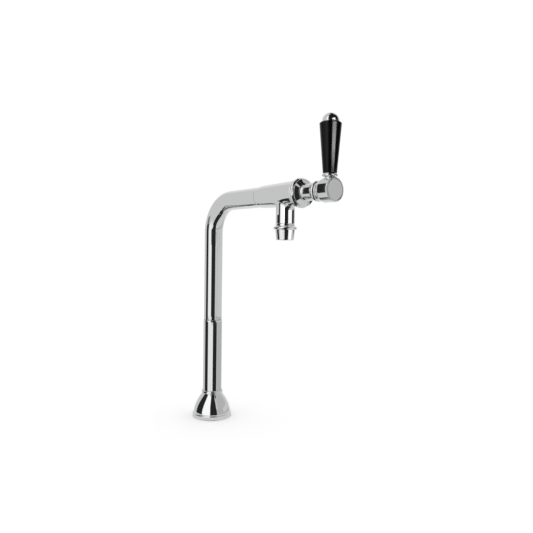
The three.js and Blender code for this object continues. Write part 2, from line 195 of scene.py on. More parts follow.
def lathe_mesh(outline, sides, closed=True):
    """Solid of revolution about +Z. An outline that isn't closed starts and ends on the axis."""
    bm = bmesh.new()
    rings = []
    for radius, height in outline:
        if radius < ON_AXIS:
            rings.append([bm.verts.new((0, 0, height))])
            continue
        ring = []
        for k in range(sides):
            angle = 2 * math.pi * k / sides
            ring.append(bm.verts.new((radius * math.cos(angle), radius * math.sin(angle), height)))
        rings.append(ring)
    pairs = list(zip(rings, rings[1:]))
    if closed:
        pairs.append((rings[-1], rings[0]))
    for one, two in pairs:
        for k in range(sides):
            following = (k + 1) % sides
            corners = [one[k % len(one)], one[following % len(one)]]
            corners += [two[following % len(two)], two[k % len(two)]]
            unique = list(dict.fromkeys(corners))
            if len(unique) > 2:
                bm.faces.new(unique)
    return bm


def turned(name, outline, place=COLUMN, sides=SIDES, split=None):
    """Turned piece from an outline of radii and heights, with no stretch longer than split."""
    outline = softened(outline)
    closed = outline[0][0] > ON_AXIS
    if split:
        outline = lines_split(outline, split)
    return weigh_normals(object_from(name, lathe_mesh(outline, sides, closed), place))


def washer(name, bore, radius, low, high, place):
    """Flat ring with softened edges."""
    soft = 0.15
    outline = [(bore, low, soft), (radius, low, soft), (radius, high, soft), (bore, high, soft)]
    return turned(name, outline, place, SMALL_SIDES)


def o_ring(name, node, place, span):
    """Ring of round section, as thick as the node is high."""
    low, high, radius = span(node)
    section_r = (high - low) / 2
    steps = 24
    last_deg = 360 - 360 / steps
    outline = arc(radius - section_r, (low + high) / 2, section_r, 0, last_deg, steps - 1)
    return turned(name, outline, place, SMALL_SIDES)


def cutter(radius, length, centre, along, sides=CUTTER_SIDES):
    """Plain round or hexagonal bar that other pieces are drilled with."""
    bm = bmesh.new()
    bmesh.ops.create_cone(
        bm, cap_ends=True, segments=sides, radius1=radius, radius2=radius, depth=length
    )
    turn = Vector(UP).rotation_difference(Vector(along)).to_matrix().to_4x4()
    return object_from("cutter", bm, Matrix.Translation(centre) @ turn)


def drilled(obj, cutters):
    """The piece with each cutter's solid taken away and the slivers of the cuts merged."""
    obj.modifiers.clear()
    for tool in cutters:
        cut = obj.modifiers.new("cut", "BOOLEAN")
        cut.operation = "DIFFERENCE"
        cut.solver = "EXACT"
        cut.object = tool
        made = bpy.data.meshes.new_from_object(
            obj.evaluated_get(bpy.context.evaluated_depsgraph_get())
        )
        obj.modifiers.clear()
        obj.data = made
        bpy.data.objects.remove(tool)
    bm = bmesh.new()
    bm.from_mesh(obj.data)
    bmesh.ops.remove_doubles(bm, verts=bm.verts, dist=CUT_MERGE_MM * MM)
    bmesh.ops.holes_fill(bm, edges=[edge for edge in bm.edges if edge.is_boundary])
    bm.to_mesh(obj.data)
    bm.free()
    obj.data.shade_smooth()
    obj.data.set_sharp_from_angle(angle=CUT_SHARP_ANGLE)
    return weigh_normals(obj)


# ---- Materials -------------------------------------------------------------------


def add_node(tree, kind, inputs=None, **settings):
    """New shader node, with each input set to a value or linked to a socket."""
    made = tree.nodes.new(kind)
    for key, value in settings.items():
        setattr(made, key, value)
    for key, value in (inputs or {}).items():
        if isinstance(value, bpy.types.NodeSocket):
            tree.links.new(value, made.inputs[key])
        else:
            made.inputs[key].default_value = value
    return made


class Finish:
    """A procedural material on one Principled shader."""

    def __init__(self, name, base, metallic, roughness):
        self.material = bpy.data.materials.new(name)
        self.material.use_nodes = True
        self.tree = self.material.node_tree
        self.shader = self.tree.nodes["Principled BSDF"]
        self.shader.inputs["Base Color"].default_value = (*base, 1)
        self.shader.inputs["Metallic"].default_value = metallic
        self.shader.inputs["Roughness"].default_value = roughness
        self.place = add_node(self.tree, "ShaderNodeTexCoord").outputs["Object"]

    def noise(self, size_mm, detail, stretch=(1, 1, 1), distortion=0.0):
        """Noise with features of about that many millimetres, drawn out where stretch is small."""
        mapping = add_node(
            self.tree, "ShaderNodeMapping", {"Vector": self.place, "Scale": stretch}
        )
        inputs = {
            "Vector": mapping.outputs["Vector"],
            "Scale": 1 / (size_mm * MM),
            "Detail": detail,
            "Distortion": distortion,
        }
        return add_node(self.tree, "ShaderNodeTexNoise", inputs).outputs["Fac"]

    def mapped(self, value, from_range, to_range=(0.0, 1.0)):
        inputs = {"Value": value, "From Min": from_range[0], "From Max": from_range[1]}
        inputs |= {"To Min": to_range[0], "To Max": to_range[1]}
        return add_node(self.tree, "ShaderNodeMapRange", inputs).outputs["Result"]

    def maths(self, operation, *values):
        inputs = dict(enumerate(values))
        return add_node(self.tree, "ShaderNodeMath", inputs, operation=operation).outputs[0]

    def colour_between(self, value, one, two):
        inputs = {"Factor": value, "A": (*one, 1), "B": (*two, 1)}
        return add_node(self.tree, "ShaderNodeMix", inputs, data_type="RGBA").outputs["Result"]

    def link(self, socket, value):
        self.tree.links.new(value, self.shader.inputs[socket])

    def bump(self, height, depth_mm):
        inputs = {"Height": height, "Strength": 1.0, "Distance": depth_mm * MM}
        self.link("Normal", add_node(self.tree, "ShaderNodeBump", inputs).outputs["Normal"])


def polished_chrome():
    """Bright plate: faint cloudiness, wiping marks and the slight waviness of buffed metal."""
    clean, spotted = (0.9, 0.905, 0.91), (0.84, 0.845, 0.85)
    finish = Finish("polished_chrome", clean, 1.0, 0.05)
    cloud = finish.mapped(finish.noise(30, 4, distortion=0.4), (0.35, 0.7))
    marks = finish.mapped(finish.noise(1.6, 2, (1, 1, 0.06)), (0.56, 0.75))
    spots = finish.mapped(finish.noise(4.5, 2), (0.68, 0.76))
    worn = finish.maths("MULTIPLY", cloud, marks)
    rough = finish.maths("MULTIPLY_ADD", cloud, 0.02, 0.035)
    rough = finish.maths("ADD", rough, finish.maths("MULTIPLY", worn, 0.05))
    rough = finish.maths("ADD", rough, finish.maths("MULTIPLY", spots, 0.05))
    finish.link("Roughness", rough)
    finish.link("Base Color", finish.colour_between(spots, clean, spotted))
    finish.bump(finish.noise(14, 2), 0.004)
    return finish.material


def black_handle():
    """Glossy black moulding with a soft orange-peel skin and hairline wear."""
    fresh, scuffed = (0.0015, 0.0015, 0.0018), (0.006, 0.006, 0.0065)
    finish = Finish("black_handle", (0.002, 0.002, 0.0022), 0.0, 0.13)
    finish.shader.inputs["IOR"].default_value = 1.3
    hairs = finish.mapped(finish.noise(0.7, 3, (1, 1, 0.05)), (0.6, 0.72))
    cloud = finish.mapped(finish.noise(9, 4), (0.4, 0.7))
    skin = finish.mapped(cloud, (0, 1), (0.1, 0.18))
    finish.link("Roughness", finish.maths("ADD", finish.maths("MULTIPLY", hairs, 0.1), skin))
    finish.link("Base Color", finish.colour_between(hairs, fresh, scuffed))
    finish.bump(finish.noise(1.8, 2), 0.004)
    return finish.material


def raw_brass():
    """Turned brass with fine tool lines and a patchy tarnish."""
    bright, tarnished = (0.68, 0.47, 0.18), (0.36, 0.23, 0.09)
    finish = Finish("raw_brass", (0.66, 0.45, 0.17), 1.0, 0.3)
    tarnish = finish.mapped(finish.noise(6, 5, distortion=0.6), (0.42, 0.68))
    lines = finish.noise(0.12, 2, (0.06, 0.06, 1))
    finish.link("Base Color", finish.colour_between(tarnish, bright, tarnished))
    finish.link("Roughness", finish.mapped(tarnish, (0, 1), (0.24, 0.45)))
    finish.bump(lines, 0.01)
    return finish.material


def bright_steel():
    """Drawn stainless bar and cut screws, with lines along their length."""
    finish = Finish("bright_steel", (0.6, 0.6, 0.61), 1.0, 0.25)
    lines = finish.noise(0.15, 3, (1, 1, 0.05))
    finish.link("Roughness", finish.mapped(lines, (0.3, 0.7), (0.18, 0.36)))
    shades = (0.5, 0.5, 0.51), (0.68, 0.68, 0.69)
    finish.link("Base Color", finish.colour_between(lines, *shades))
    finish.bump(lines, 0.006)
    return finish.material


def black_rubber():
    """Dull moulded rubber with a pale bloom and a fine grain."""
    fresh, bloomed = (0.016, 0.016, 0.017), (0.04, 0.04, 0.04)
    finish = Finish("black_rubber", (0.02, 0.02, 0.021), 0.0, 0.75)
    finish.shader.inputs["Specular IOR Level"].default_value = 0.35
    bloom = finish.mapped(finish.noise(3, 5), (0.4, 0.7))
    grain = finish.noise(0.2, 2)
    finish.link("Base Color", finish.colour_between(bloom, fresh, bloomed))
    finish.link("Roughness", finish.mapped(grain, (0.3, 0.7), (0.65, 0.85)))
    finish.bump(grain, 0.02)
    return finish.material


def white_nylon():
    """Slightly translucent moulding that has yellowed in patches."""
    fresh, yellowed = (0.82, 0.8, 0.74), (0.72, 0.69, 0.61)
    finish = Finish("white_nylon", (0.8, 0.78, 0.72), 0.0, 0.45)
    finish.shader.inputs["Subsurface Weight"].default_value = 0.2
    finish.shader.inputs["Subsurface Scale"].default_value = 0.5 * MM
    cloud = finish.mapped(finish.noise(2, 4), (0.35, 0.7))
    finish.link("Base Color", finish.colour_between(cloud, fresh, yellowed))
    finish.link("Roughness", finish.mapped(cloud, (0, 1), (0.38, 0.55)))
    finish.bump(finish.noise(0.3, 2), 0.01)
    return finish.material


def white_ceramic():
    """Ground alumina with faint speckles."""
    clean, speckled = (0.88, 0.86, 0.82), (0.76, 0.74, 0.7)
    finish = Finish("white_ceramic", (0.86, 0.84, 0.8), 0.0, 0.2)
    speckle = finish.mapped(finish.noise(0.4, 3), (0.55, 0.75))
    finish.link("Base Color", finish.colour_between(speckle, clean, speckled))
    finish.link("Roughness", finish.mapped(speckle, (0, 1), (0.14, 0.3)))
    finish.bump(finish.noise(0.25, 2), 0.002)
    return finish.material


SLOTS = {
    "polished_chrome": polished_chrome(),
    "black_handle": black_handle(),
    "raw_brass": raw_brass(),
    "bright_steel": bright_steel(),
    "black_rubber": black_rubber(),
    "white_nylon": white_nylon(),
    "ceramic": white_ceramic(),
}


def dressed(obj, slot):
    """The object in that slot's material alone."""
    obj.data.materials.clear()
    obj.data.materials.append(SLOTS[slot])
    return obj


def stand_in(obj, node, slot):
    """obj shows in place of the CAD node, on the same body and in the record's finish."""
    dressed(obj, slot)
    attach(obj, frame["nodes"][node]["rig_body"])
    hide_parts(node)


# ---- Pedestal --------------------------------------------------------------------


def base_flange():
    """Thin bell with a rolled collar bead, hollow underneath, grooved inside for its O-ring."""
    rim_foot, collar_top, rim_r = upright("base_flange")
    bell_foot, bell_top = rim_foot + 5, 28.2
    foot_r, neck_r, wall, flare = rim_r - 1.4, 12.6, 1.9, 1.8
    rim_inner_r, rim_recess_top = rim_r - 2.4, 6.8
    hollow_foot, hollow_top = 7.9, 19.2
    bore, bore_foot = upright("pedestal_sleeve")[2] + 0.3, 21
    groove_r, groove_foot, groove_top = bore + 1.8, 22.8, 25.4
    outside_steps, inside_steps = 30, 16

    def bell(height):
        part = (height - bell_foot) / (bell_top - bell_foot)
        return foot_r - (foot_r - neck_r) * part**flare

    outline = [(rim_inner_r, rim_foot, 0.3), (rim_r, rim_foot, 0.5), (rim_r, bell_foot, 1.1)]
    outline += [(foot_r, bell_foot, 0.25)]
    for i in range(1, outside_steps + 1):
        height = bell_foot + (bell_top - bell_foot) * i / outside_steps
        outline.append((bell(height), height))
    outline += arc(11, 30.6, 2.2, -58, 62)
    outline += [(bore, collar_top, 0.1), (bore, groove_top), (groove_r, groove_top)]
    outline += [(groove_r, groove_foot), (bore, groove_foot), (bore, bore_foot, 0.3)]
    for i in range(inside_steps + 1):
        height = hollow_top - (hollow_top - hollow_foot) * i / inside_steps
        outline.append((bell(height) - wall, height))
    outline += [(rim_inner_r, rim_recess_top, 0.5)]
    stand_in(turned("bell_flange", outline), "base_flange", "polished_chrome")


def screw_places():
    """Centres of the three bench screws' holes in the mounting plate."""
    circle_r = 15.6
    angles = [math.radians(degrees) for degrees in (90, 210, 330)]
    return [(circle_r * math.cos(angle), circle_r * math.sin(angle)) for angle in angles]


def mounting_plate():
    """Disc on the bench with a boss for the sleeve, an inlet socket and countersunk holes."""
    low, high, radius = upright("mounting_plate")
    plate_top, boss_r = 6.3, 9
    socket_r, socket_top, passage_r = 7.5, 13, 5.5
    outline = [
        (socket_r, low, 0.3), (radius, low, 0.3), (radius, plate_top, 0.6),
        (boss_r, plate_top, 0.5), (boss_r, high, 0.8), (passage_r, high, 0.3),
        (passage_r, socket_top), (socket_r, socket_top),
    ]
    shank_r, shank_top, head_r, sink_top = 2.3, 3.4, 4.3, 6.5
    sink = [(0, -1), (shank_r, -1), (shank_r, shank_top), (head_r, sink_top), (0, sink_top)]
    holes = []
    for x, y in screw_places():
        tool = lathe_mesh(sink, CUTTER_SIDES, closed=False)
        holes.append(object_from("cutter", tool, Matrix.Translation((x, y, 0))))
    plate = drilled(turned("bench_plate", outline, split=2.5), holes)
    stand_in(plate, "mounting_plate", "raw_brass")


def base_gasket():
    """Rubber disc under the plate, with the same three screw holes."""
    low, high, radius = upright("base_gasket")
    bore, hole_r, hole_length, hole_height = 8, 2.6, 6, 0.5
    outline = [(bore, low, 0.1), (radius, low, 0.25), (radius, high, 0.25), (bore, high, 0.1)]
    holes = [cutter(hole_r, hole_length, (x, y, hole_height), UP) for x, y in screw_places()]
    gasket = drilled(turned("bench_gasket", outline, split=2.5), holes)
    stand_in(gasket, "base_gasket", "black_rubber")


def pedestal_sleeve():
    """Fixed column tube, with a thin lip at the top and the grub screw's hole in its back."""
    low, high, radius = upright("pedestal_sleeve")
    bore, lip, hole_r, hole_length = 9.3, 0.9, 2.7, 8
    outline = [
        (bore, low, 0.2), (radius, low, 0.3), (radius, high, 0.55), (radius - lip, high, 0.08),
        (radius - lip, high - lip), (bore, high - lip),
    ]
    hole = cutter(hole_r, hole_length, (0, radius, middle("grub_screw").z), BACK)
    sleeve = drilled(turned("column_sleeve", outline, split=2), [hole])
    stand_in(sleeve, "pedestal_sleeve", "polished_chrome")


def grub_screw():
    """Screw in the sleeve's back, with a dog point and a hexagon socket."""
    low, high = box_mm("grub_screw")
    height = middle("grub_screw").z
    point_r, point_end, thread_r, thread_end = 1.8, 9.3, 2.4, 9.6
    outline = [
        (0, low.y), (point_r, low.y, 0.3), (point_r, point_end, 0.1), (thread_r, thread_end, 0.1),
        (thread_r, high.y, 0.25), (0, high.y),
    ]
    place = Matrix.Translation((0, 0, height)) @ Matrix.Rotation(-math.pi / 2, 4, "X")
    socket_r, socket_length = 1.25, 2.6
    socket = cutter(socket_r, socket_length, (0, high.y - 0.4, height), BACK, HEXAGON)
    screw = drilled(turned("sleeve_grub_screw", outline, place, SMALL_SIDES), [socket])
    stand_in(screw, "grub_screw", "bright_steel")


# ---- Swivel ----------------------------------------------------------------------


def riser_tube():
    """Bent tube swept through its straight riser, quarter bend and straight arm."""
    low, high = box_mm("riser_tube")
    foot, end, radius, bore = low.z, -low.y, high.x, 9.5
    bend_r = 38
    bend_start = ARM_HEIGHT - bend_r - foot
    bend_length = bend_r * math.pi / 2
    total = bend_start + bend_length + end - bend_r
    riser_steps, bend_steps, arm_steps = 20, 72, 16

    def station(distance):
        """Point on the centreline, and the direction square to it that starts as -Y."""
        angle = min(max((distance - bend_start) / bend_r, 0), math.pi / 2)
        reach = bend_r - bend_r * math.cos(angle)
        centre = Vector((0, -reach, foot + bend_start + bend_r * math.sin(angle)))
        centre.z += min(distance - bend_start, 0)
        centre.y -= max(distance - bend_start - bend_length, 0)
        return centre, Vector((0, -math.cos(angle), -math.sin(angle)))

    riser = [bend_start * i / riser_steps for i in range(1, riser_steps)]
    bend = [bend_start + bend_length * i / bend_steps for i in range(bend_steps + 1)]
    arm = []
    for i in range(1, arm_steps):
        arm.append(bend_start + bend_length + (end - bend_r) * i / arm_steps)
    outside = [(0, radius - 0.45), (0.13, radius - 0.14), (0.45, radius)]
    outside += [(distance, radius) for distance in riser + bend + arm]
    outside += [(total - 0.2, radius), (total - 0.05, radius - 0.06), (total, radius - 0.2)]
    inside = [(total, bore)] + [(distance, bore) for distance in reversed(bend)] + [(0, bore)]
    bm = bmesh.new()
    rings = []
    for distance, ring_r in outside + inside:
        centre, inward = station(distance)
        ring = []
        for k in range(SIDES):
            angle = 2 * math.pi * k / SIDES
            point = centre + inward * ring_r * math.cos(angle)
            ring.append(bm.verts.new(point + Vector((ring_r * math.sin(angle), 0, 0))))
        rings.append(ring)
    join_rings(bm, rings + rings[:1])
    tube = weigh_normals(object_from("swan_neck_tube", bm))
    stand_in(tube, "riser_tube", "polished_chrome")


# ---- Tap body --------------------------------------------------------------------

BRANCH_R = 10
SADDLE_R = 4.2  # fillet between the barrel and the outlet branch
PATCH = (106, 152)  # the stretch of the barrel that holds the branch's saddle
AROUND = 120  # points round the barrel
ALONG = 28  # points along each side of the patch


def barrel_radius(reach):
    """Gently swelling barrel, which opens quickly from the tube's own size."""
    widest_r, widest_reach, swell, swell_length, swell_power = 13.2, 153, 1.15, 55, 1.2
    step, step_reach, step_length = 0.6, 93.5, 4
    narrowed = swell * (max(widest_reach - reach, 0) / swell_length) ** swell_power
    return widest_r - narrowed - step * math.exp((step_reach - reach) / step_length)


def barrel_point(reach, turn, radius=None):
    """Point on the barrel or at that radius, turned from straight down towards +X."""
    radius = barrel_radius(reach) if radius is None else radius
    return Vector((radius * math.sin(turn), -reach, ARM_HEIGHT - radius * math.cos(turn)))


def saddle_ball(bearing):
    """Centre of the ball that rolls round the corner between the branch and the barrel, and the
    reach and turn at which it touches the barrel."""
    across = BRANCH_R + SADDLE_R
    reach = OUTLET_REACH + across * math.cos(bearing)
    x = across * math.sin(bearing)
    drop = math.sqrt((barrel_radius(reach) + SADDLE_R) ** 2 - x**2)
    return Vector((x, -reach, ARM_HEIGHT - drop)), reach, math.atan2(x, drop)


def patch_edge():
    """Reach and turn of the points once round the edge of the patch."""
    back, front = PATCH
    edge = [(front, -math.pi + 2 * math.pi * i / AROUND) for i in range(AROUND)]
    edge += [(front - (front - back) * i / ALONG, math.pi) for i in range(ALONG)]
    edge += [(back, math.pi - 2 * math.pi * i / AROUND) for i in range(AROUND)]
    edge += [(back + (front - back) * i / ALONG, -math.pi) for i in range(ALONG)]
    return edge


def branch_bearings():
    """Bearing on the branch that belongs to each point of the patch's edge."""
    corner = math.radians(66)
    side = math.pi - 2 * corner
    bearings = [-corner + 2 * corner * i / AROUND for i in range(AROUND)]
    bearings += [corner + side * i / ALONG for i in range(ALONG)]
    bearings += [math.pi - corner + 2 * corner * i / AROUND for i in range(AROUND)]
    bearings += [math.pi + corner + side * i / ALONG for i in range(ALONG)]
    return bearings


def branch_strip(edge_reach, edge_turn, bearing, foot):
    """Points from the patch's edge over the barrel and its fillet, down the outside of the
    branch and up its bore."""
    barrel_steps, fillet_steps, wall_steps = 10, 10, 4
    ball, reach, turn = saddle_ball(bearing)
    strip = []
    for i in range(barrel_steps + 1):
        t = i / barrel_steps
        point_reach = edge_reach + (reach - edge_reach) * t
        strip.append(barrel_point(point_reach, edge_turn + (turn - edge_turn) * t))
    to_barrel = (strip[-1] - ball).normalized()
    to_branch = Vector((-math.sin(bearing), math.cos(bearing), 0))
    for i in range(1, fillet_steps + 1):
        strip.append(ball + to_barrel.slerp(to_branch, i / fillet_steps) * SADDLE_R)
    x, y, wall_top = strip[-1]
    wall_foot = foot + 0.4
    for i in range(1, wall_steps + 1):
        strip.append(Vector((x, y, wall_top + (wall_foot - wall_top) * i / wall_steps)))
    socket_r, socket_top, passage_r, passage_top = 8.3, foot + 10.5, 6.5, foot + 15
    inside = [
        (BRANCH_R, wall_foot), (BRANCH_R, foot, 0.3), (socket_r, foot, 0.1),
        (socket_r, socket_top), (passage_r, socket_top + 0.5), (passage_r, passage_top),
        (0.01, passage_top),
    ]
    for radius, height in softened(inside)[1:]:
        y = -OUTLET_REACH - radius * math.cos(bearing)
        strip.append(Vector((radius * math.sin(bearing), y, height)))
    return strip


def barrel_outline():
    """The rest of the casting: the bead in front of the patch, the bores inside and the barrel
    behind it."""
    front, widest, face, seam = PATCH[1], 153, 160.4, 93.15
    tail_start, tail_length, tail_steps = seam + 0.4, 12.45, 24
    mouth_r, cartridge_r, port_r, passage_r, tube_r = 10.5, 10, 5, 7, 9.2
    outline = [(barrel_radius(front), front), (barrel_radius(widest), widest)]
    outline += [(13.9, 154.6), (14.7, 155.5)] + arc(12.9, 157.8, 2.4, -48, 50)
    outline += [(13.8, face, 0.2), (mouth_r, face, 0.2), (mouth_r, 150), (cartridge_r, 150)]
    outline += [(cartridge_r, 124), (port_r, 124), (port_r, 122), (passage_r, 122)]
    outline += [(passage_r, seam - 12), (tube_r - 0.5, seam - 12), (tube_r, seam - 11.5)]
    outline += [(tube_r, seam), (10.8, seam, 0.12)]
    for i in range(tail_steps + 1):
        reach = tail_start + tail_length * i / tail_steps
        outline.append((barrel_radius(reach), reach))
    return outline


def tap_body():
    """Barrel and branch cast as one, with a rolled fillet where they meet."""
    foot = box_mm("tap_body")[0].z
    bm = bmesh.new()
    strips = []
    for (reach, turn), bearing in zip(patch_edge(), branch_bearings()):
        strips.append([bm.verts.new(point) for point in branch_strip(reach, turn, bearing, foot)])
    for one, two in zip(strips, strips[1:] + strips[:1]):
        for i in range(len(one) - 1):
            bm.faces.new((one[i], one[i + 1], two[i + 1], two[i]))
    bm.faces.new([strip[-1] for strip in strips])
    turns = [-math.pi + 2 * math.pi * i / AROUND for i in range(AROUND)]
    rings = []
    for radius, reach in softened(barrel_outline()):
        rings.append([bm.verts.new(barrel_point(reach, turn, radius)) for turn in turns])
    join_rings(bm, rings)
    body = weigh_normals(object_from("tap_casting", bm))
    stand_in(body, "tap_body", "polished_chrome")


def outlet_nozzle():
    """Tapered nozzle with a bead, and a grooved spigot inside the branch for its O-ring."""
    foot, top, bead_r = upright("outlet_nozzle")
    mouth_r, passage_r, spigot_r, groove_r = 6.8, 5.2, 8, 6.6
    outline = [(mouth_r, foot, 0.3), (9.15, foot, 0.45), (10.35, foot + 10.8, 0.2)]
    outline += arc(bead_r - 1.5, foot + 12.5, 1.5, -70, 80)
    outline += [(10.2, foot + 14.8, 0.2), (9.9, foot + 16.8, 0.2), (spigot_r, foot + 16.8)]
    outline += [(spigot_r, foot + 21.2), (groove_r, foot + 21.2), (groove_r, foot + 24)]
    outline += [(spigot_r, foot + 24), (spigot_r, top, 0.3), (passage_r, top, 0.3)]
    outline += [(passage_r, foot + 10), (mouth_r, foot + 10)]
    stand_in(turned("beaded_nozzle", outline, OUTLET), "outlet_nozzle", "polished_chrome")


# ---- Valve -----------------------------------------------------------------------


def bonnet_gasket():
    low, high, radius = along_arm("bonnet_gasket")
    gasket = washer("bonnet_seal", 10.7, radius, low, high, ARM)
    stand_in(gasket, "bonnet_gasket", "black_rubber")


def bonnet():
    """Nut that holds the cartridge: thread, coned flange with a groove, neck and front spigot."""
    thread, front, flange_r = along_arm("bonnet")
    back, neck = 161.5, front - 5.7
    thread_r, groove_r, neck_r, spigot_r = 10.2, 7.9, 8.7, 6.6
    bore, spindle_bore, bore_end = 6.5, 4.6, 169
    outline = [(bore, thread), (thread_r, thread, 0.4), (thread_r, back)]
    outline += [(flange_r - 0.1, back, 0.3), (flange_r, back + 0.7, 0.35), (9.5, back + 3.15, 0.3)]
    outline += [(groove_r, back + 3.4, 0.1), (groove_r, back + 4.2, 0.1)]
    outline += [(neck_r, back + 4.4, 0.2), (neck_r, neck, 0.35), (spigot_r, neck)]
    outline += [(spigot_r, front, 0.2), (spindle_bore, front, 0.2)]
    outline += [(spindle_bore, bore_end), (bore, bore_end)]
    stand_in(turned("valve_bonnet", outline, ARM), "bonnet", "polished_chrome")


def gland_nut():
    """Beaded nut on the bonnet's spigot, recessed in front for the glide ring."""
    back, front, radius = along_arm("gland_nut")
    bore, recess_r, recess = 6.9, 7.6, front - 1.7
    outline = [(bore, back), (radius - 1, back, 0.3)]
    outline += arc(radius - 2.4, front - 4.2, 2.4, -45, 60)
    outline += [(radius - 1.2, front - 1.4, 0.2), (radius - 0.7, front, 0.3)]
    outline += [(recess_r, front, 0.1), (recess_r, recess), (bore, recess)]
    stand_in(turned("beaded_gland_nut", outline, ARM), "gland_nut", "polished_chrome")


def glide_ring():
    back, front, radius = along_arm("glide_ring")
    ring = washer("hub_glide_ring", 4.7, radius, back, front, ARM)
    stand_in(ring, "glide_ring", "white_nylon")


# ---- Lever -----------------------------------------------------------------------

STEM_BORE = 2.8  # hole for the lever's stem in the pieces round it


def lever_hub():
    """Boss on the spindle, with a beaded back, the cap's recess and the lever's seat and hole."""
    back, face, radius = along_arm("lever_hub")
    recess_r, recess = 10.5, 203
    counterbore_r, counterbore_end, screw_r, spindle_r, spindle_end = 4.2, 199.4, 2.3, 4.5, 194.8
    outline = [(spindle_r, back, 0.2), (9.4, back)]
    outline += [(10.2, back + 0.5, 0.3), (10.3, back + 2.6, 0.3)]
    outline += arc(radius - 2.6, back + 5.8, 2.6, -55, 0)
    outline += [(radius, face, 0.75), (recess_r, face, 0.15), (recess_r, recess)]
    outline += [(counterbore_r, recess), (counterbore_r, counterbore_end)]
    outline += [(screw_r, counterbore_end), (screw_r, spindle_end), (spindle_r, spindle_end)]
    seat_r, seat_length, seat_rise = 5.3, 8, 13.2
    hole_length, hole_rise = 12, 11.2
    seat = cutter(seat_r, seat_length, (0, -LEVER_REACH, ARM_HEIGHT + seat_rise), UP)
    hole = cutter(STEM_BORE, hole_length, (0, -LEVER_REACH, ARM_HEIGHT + hole_rise), UP)
    hub = drilled(turned("lever_boss", outline, ARM, split=1.2), [hole, seat])
    stand_in(hub, "lever_hub", "polished_chrome")


def hub_cap():
    back, face, radius = along_arm("hub_cap")
    outline = [(0, back), (radius, back, 0.2), (radius, face, 0.35), (0, face)]
    stand_in(turned("boss_cap", outline, ARM), "hub_cap", "polished_chrome")


def hub_screw():
    """Socket-head screw that holds the hub on the spindle."""
    back, front, radius = along_arm("hub_screw")
    thread_r, head_back = 2, 199.7
    outline = [(0, back), (thread_r, back, 0.4), (thread_r, head_back)]
    outline += [(radius, head_back, 0.2), (radius, front, 0.3), (0, front)]
    socket_r, socket_length = 1.5, 4
    socket = cutter(socket_r, socket_length, (0, -front - 0.4, ARM_HEIGHT), BACK, HEXAGON)
    screw = drilled(turned("boss_screw", outline, ARM, SMALL_SIDES), [socket])
    stand_in(screw, "hub_screw", "bright_steel")


def lever_stem():
    foot, top, radius = upright("lever_stem")
    outline = [(0, foot), (radius, foot, 0.4), (radius, top, 0.4), (0, top)]
    stand_in(turned("lever_rod", outline, LEVER, SMALL_SIDES), "lever_stem", "bright_steel")


def lever_ferrule():
    """Waisted ferrule with one bead, between the hub and the handle."""
    foot, top, _ = upright("lever_ferrule")
    outline = [(STEM_BORE, foot), (4.9, foot, 0.3), (4.9, foot + 2.4, 0.3)]
    outline += [(6.3, foot + 3.3, 0.1)] + arc(6.2, foot + 4.4, 1.4, -40, 50)
    outline += [(6.7, top, 0.15), (STEM_BORE, top)]
    stand_in(turned("beaded_ferrule", outline, LEVER), "lever_ferrule", "polished_chrome")


def lever_handle():
    """Tapered grip with a rounded shoulder, recessed at both ends for its washers."""
    foot, top, radius = upright("lever_handle")
    foot_r, recess_r, recess, shoulder = 6.8, 5.6, 1.2, 1.2
    outline = [(STEM_BORE, foot + recess), (recess_r, foot + recess), (recess_r, foot, 0.1)]
    outline += [(foot_r, foot, 0.25)] + arc(radius - shoulder, top - shoulder, shoulder, 4, 90, 18)
    outline += [(recess_r, top, 0.1), (recess_r, top - recess), (STEM_BORE, top - recess)]
    stand_in(turned("tapered_handle", outline, LEVER), "lever_handle", "black_handle")


def handle_washers():
    for number in (1, 2):
        node = f"handle_washer_{number}"
        low, high, radius = upright(node)
        seat = washer(f"handle_seat_{number}", STEM_BORE, radius, low, high, LEVER)
        stand_in(seat, node, "white_nylon")


def finial_nut():
    """Domed nut on the stem, with a thin flat rim."""
    foot, top, radius = upright("finial_nut")
    shoulder = foot + 1
    dome_r = radius - 0.5
    hole_top = foot + 4
    dome_steps = 24
    outline = [(0, hole_top), (STEM_BORE, hole_top), (STEM_BORE, foot)]
    outline += [(radius, foot, 0.3), (radius, foot + 0.8, 0.3), (dome_r + 0.05, foot + 0.9, 0.1)]
    for i in range(dome_steps):
        angle = math.radians(90 * i / dome_steps)
        height = shoulder + (top - shoulder) * math.sin(angle)
        outline.append((dome_r * math.cos(angle), height))
    outline += [(0, top)]
    stand_in(turned("domed_finial", outline, LEVER), "finial_nut", "polished_chrome")


for build in (
    base_flange, mounting_plate, base_gasket, pedestal_sleeve, grub_screw, riser_tube, tap_body,
    outlet_nozzle, bonnet_gasket, bonnet, gland_nut, glide_ring, lever_hub, hub_cap, hub_screw,
    lever_stem, lever_ferrule, lever_handle, handle_washers, finial_nut,
):
    build()

# O-rings, then the CAD nodes that stay and only need their finish.
for node, place, span in (
    ("flange_o_ring", COLUMN, upright),
    ("spigot_o_ring_1", COLUMN, upright),
    ("spigot_o_ring_2", COLUMN, upright),
    ("nozzle_o_ring", OUTLET, upright),
    ("spindle_o_ring_1", ARM, along_arm),
    ("spindle_o_ring_2", ARM, along_arm),
):
    stand_in(o_ring(f"fine_{node}", node, place, span), node, "black_rubber")

for node, slot in (
    ("sleeve_washer", "black_rubber"),
    ("swivel_washer", "white_nylon"),
    ("swivel_spigot", "raw_brass"),
    ("flow_straightener", "white_nylon"),
    ("cartridge_seal", "black_rubber"),
    ("cartridge_body", "raw_brass"),
    ("fixed_disc", "ceramic"),
    ("moving_disc", "ceramic"),
    ("spindle", "raw_brass"),
    ("spindle_circlip", "bright_steel"),
):
    dressed(frame["nodes"][node], slot)


# ---- Studio ----------------------------------------------------------------------

